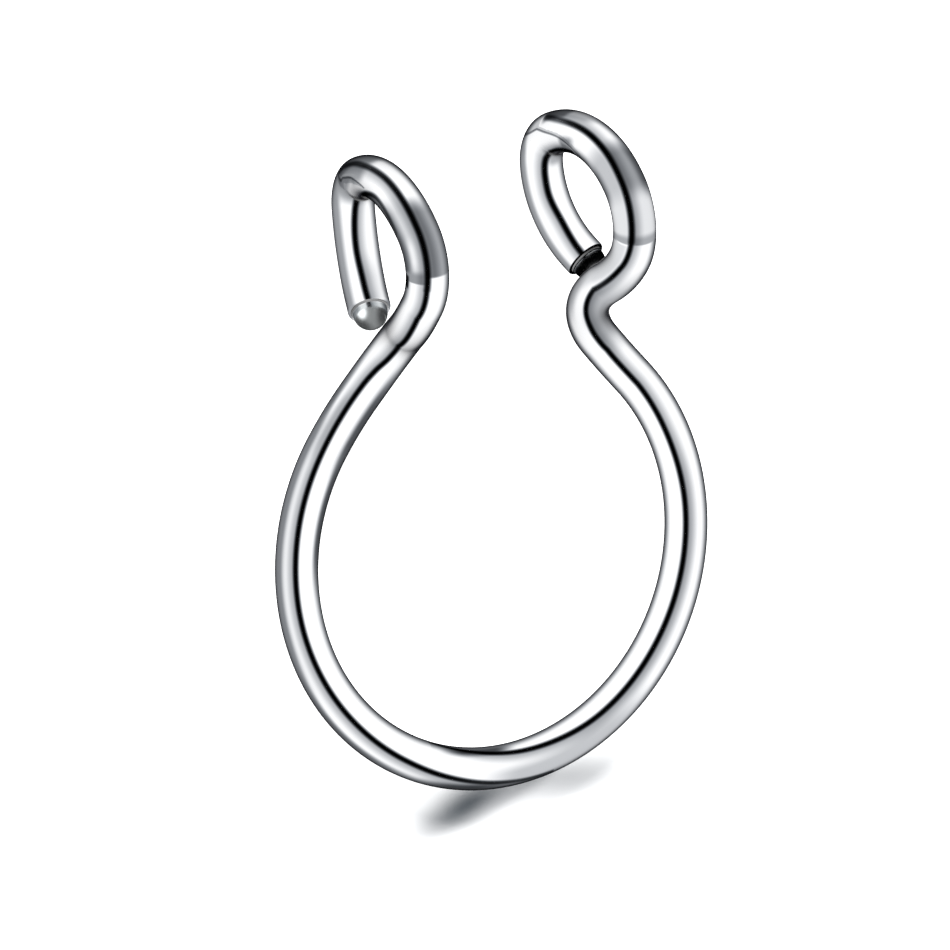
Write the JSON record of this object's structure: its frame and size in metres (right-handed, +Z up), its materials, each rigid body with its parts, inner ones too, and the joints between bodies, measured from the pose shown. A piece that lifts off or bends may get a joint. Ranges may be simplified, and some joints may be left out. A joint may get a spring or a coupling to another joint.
{
  "type": "clip-on nose ring",
  "caption": "Clip-on septum ring of one polished round wire: an open hoop whose two ends lean forwards and roll up into small closed curls that hold the septum between them.",
  "frame": {"origin": "under the middle of the ring's box, on the surface that it lies on", "axes": "X across the ring, Y from the bottom of the hoop towards the two curls, Z up from the surface to the front of the curls"},
  "size_m": [0.0114, 0.0156, 0.0046],
  "materials": {
    "polished_steel": "mirror-polished surgical steel with fine rub marks"
  },
  "bodies": {
    "root": {"ring_wire": "polished_steel"}
  },
  "joints": []
}
